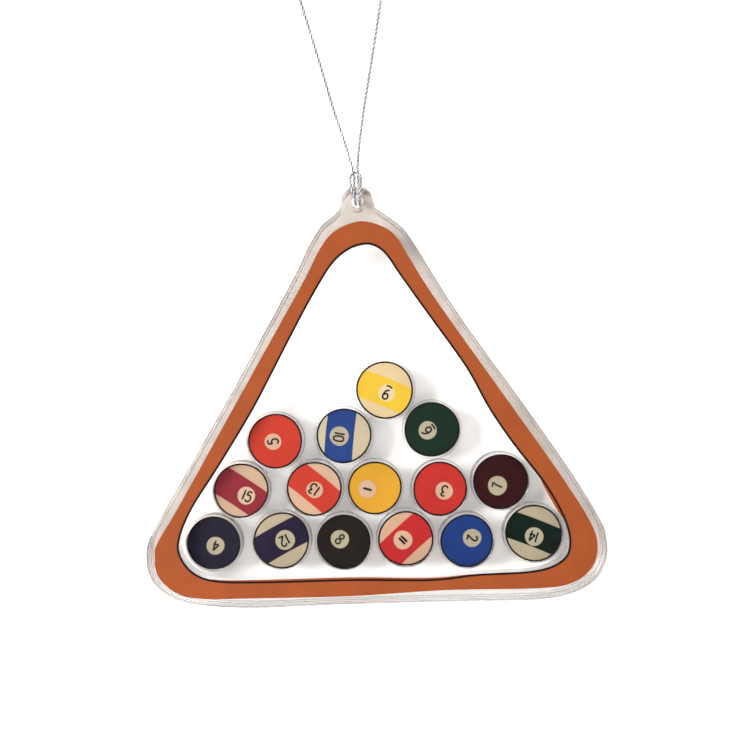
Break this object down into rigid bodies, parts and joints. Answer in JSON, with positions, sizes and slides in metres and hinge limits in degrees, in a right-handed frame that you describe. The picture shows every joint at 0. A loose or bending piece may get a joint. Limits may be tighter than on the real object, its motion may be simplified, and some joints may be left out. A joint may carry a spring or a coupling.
{
  "type": "billiard rack shaker ornament",
  "caption": "Flat clear acrylic shaker ornament in the shape of a billiard triangle rack, with loose numbered ball discs in its window and a silver cord in its tab.",
  "frame": {"origin": "middle of the width and the length of the clear body, on the surface that its back lies on", "axes": "+Z out of the printed front, +Y towards the hanging tab, +X to the right as seen from the front"},
  "size_m": [0.1014, 0.1836, 0.0106],
  "materials": {
    "clear_acrylic": "polished, laser cut edges",
    "ball_acrylic": "polished, laser cut edges",
    "orange_ink": "satin printed ink",
    "black_ink": "satin printed ink",
    "silver_cord": "twisted metallic thread",
    "ball_01_ink": "satin printed ink",
    "ball_02_ink": "satin printed ink",
    "ball_03_ink": "satin printed ink",
    "ball_04_ink": "satin printed ink",
    "ball_05_ink": "satin printed ink",
    "ball_06_ink": "satin printed ink",
    "ball_07_ink": "satin printed ink",
    "ball_08_ink": "satin printed ink",
    "ball_09_ink": "satin printed ink",
    "ball_10_ink": "satin printed ink",
    "ball_11_ink": "satin printed ink",
    "ball_12_ink": "satin printed ink",
    "ball_13_ink": "satin printed ink",
    "ball_14_ink": "satin printed ink",
    "ball_15_ink": "satin printed ink"
  },
  "bodies": {
    "casing": {"back_panel": "clear_acrylic", "spacer_lower": "clear_acrylic", "spacer_upper": "clear_acrylic", "front_panel": "clear_acrylic", "rack_print": "orange_ink", "outline_print": "black_ink", "hanging_cord": "silver_cord", "cord_knot": "silver_cord"},
    "ball_01": {"ball_01_disc": "ball_acrylic", "ball_01_print": "ball_01_ink"},
    "ball_02": {"ball_02_disc": "ball_acrylic", "ball_02_print": "ball_02_ink"},
    "ball_03": {"ball_03_disc": "ball_acrylic", "ball_03_print": "ball_03_ink"},
    "ball_04": {"ball_04_disc": "ball_acrylic", "ball_04_print": "ball_04_ink"},
    "ball_05_disc_body": {"ball_05_disc": "ball_acrylic"},
    "ball_05": {"ball_05_print": "ball_05_ink"},
    "ball_06_disc_body": {"ball_06_disc": "ball_acrylic"},
    "ball_06": {"ball_06_print": "ball_06_ink"},
    "ball_07_disc_body": {"ball_07_disc": "ball_acrylic"},
    "ball_07": {"ball_07_print": "ball_07_ink"},
    "ball_08": {"ball_08_disc": "ball_acrylic", "ball_08_print": "ball_08_ink"},
    "ball_09_disc_body": {"ball_09_disc": "ball_acrylic"},
    "ball_09": {"ball_09_print": "ball_09_ink"},
    "ball_10_disc_body": {"ball_10_disc": "ball_acrylic"},
    "ball_10": {"ball_10_print": "ball_10_ink"},
    "ball_11": {"ball_11_disc": "ball_acrylic", "ball_11_print": "ball_11_ink"},
    "ball_12": {"ball_12_disc": "ball_acrylic", "ball_12_print": "ball_12_ink"},
    "ball_13": {"ball_13_disc": "ball_acrylic", "ball_13_print": "ball_13_ink"},
    "ball_14": {"ball_14_disc": "ball_acrylic", "ball_14_print": "ball_14_ink"},
    "ball_15": {"ball_15_disc": "ball_acrylic", "ball_15_print": "ball_15_ink"}
  },
  "joints": [
    {"name": "ball_01_spin", "type": "hinge", "parent": "casing", "child": "ball_01", "pos_m": [-0.00045, -0.02028, 0.0042], "axis": [0, 0, 1], "continuous": true},
    {"name": "ball_02_spin", "type": "hinge", "parent": "casing", "child": "ball_02", "pos_m": [0.02005, -0.03208, 0.0042], "axis": [0, 0, 1], "continuous": true},
    {"name": "ball_03_spin", "type": "hinge", "parent": "casing", "child": "ball_03", "pos_m": [0.01405, -0.02048, 0.0042], "axis": [0, 0, 1], "continuous": true},
    {"name": "ball_04_spin", "type": "hinge", "parent": "casing", "child": "ball_04", "pos_m": [-0.03635, -0.03258, 0.0042], "axis": [0, 0, 1], "continuous": true},
    {"name": "ball_05_slide", "type": "slide", "parent": "casing", "child": "ball_05_disc_body", "axis": [0.35, 0.9367, 0], "range_m": [0, 0.008]},
    {"name": "ball_05_spin", "type": "hinge", "parent": "ball_05_disc_body", "child": "ball_05", "pos_m": [-0.02265, -0.00988, 0.0042], "axis": [0, 0, 1], "continuous": true},
    {"name": "ball_06_slide", "type": "slide", "parent": "casing", "child": "ball_06_disc_body", "axis": [0.7, 0.7141, 0], "range_m": [0, 0.0055]},
    {"name": "ball_06_spin", "type": "hinge", "parent": "ball_06_disc_body", "child": "ball_06", "pos_m": [0.01225, -0.00728, 0.0042], "axis": [0, 0, 1], "continuous": true},
    {"name": "ball_07_slide", "type": "slide", "parent": "casing", "child": "ball_07_disc_body", "axis": [-0.3, 0.9539, 0], "range_m": [0, 0.0027]},
    {"name": "ball_07_spin", "type": "hinge", "parent": "ball_07_disc_body", "child": "ball_07", "pos_m": [0.02754, -0.01888, 0.0042], "axis": [0, 0, 1], "continuous": true},
    {"name": "ball_08_spin", "type": "hinge", "parent": "casing", "child": "ball_08", "pos_m": [-0.00735, -0.03228, 0.0042], "axis": [0, 0, 1], "continuous": true},
    {"name": "ball_09_slide", "type": "slide", "parent": "casing", "child": "ball_09_disc_body", "axis": [-0.202, 0.9794, 0], "range_m": [0, 0.024]},
    {"name": "ball_09_spin", "type": "hinge", "parent": "ball_09_disc_body", "child": "ball_09", "pos_m": [0.00175, 0.00151, 0.0042], "axis": [0, 0, 1], "continuous": true},
    {"name": "ball_10_slide", "type": "slide", "parent": "casing", "child": "ball_10_disc_body", "axis": [0.743, -0.6693, 0], "range_m": [-0.003, 0]},
    {"name": "ball_10_spin", "type": "hinge", "parent": "ball_10_disc_body", "child": "ball_10", "pos_m": [-0.00735, -0.00868, 0.0042], "axis": [0, 0, 1], "continuous": true},
    {"name": "ball_11_spin", "type": "hinge", "parent": "casing", "child": "ball_11", "pos_m": [0.00645, -0.03158, 0.0042], "axis": [0, 0, 1], "continuous": true},
    {"name": "ball_12_spin", "type": "hinge", "parent": "casing", "child": "ball_12", "pos_m": [-0.02125, -0.03198, 0.0042], "axis": [0, 0, 1], "continuous": true},
    {"name": "ball_13_spin", "type": "hinge", "parent": "casing", "child": "ball_13", "pos_m": [-0.01395, -0.02048, 0.0042], "axis": [0, 0, 1], "continuous": true},
    {"name": "ball_14_spin", "type": "hinge", "parent": "casing", "child": "ball_14", "pos_m": [0.03494, -0.03038, 0.0042], "axis": [0, 0, 1], "continuous": true},
    {"name": "ball_15_spin", "type": "hinge", "parent": "casing", "child": "ball_15", "pos_m": [-0.03025, -0.02088, 0.0042], "axis": [0, 0, 1], "continuous": true}
  ]
}
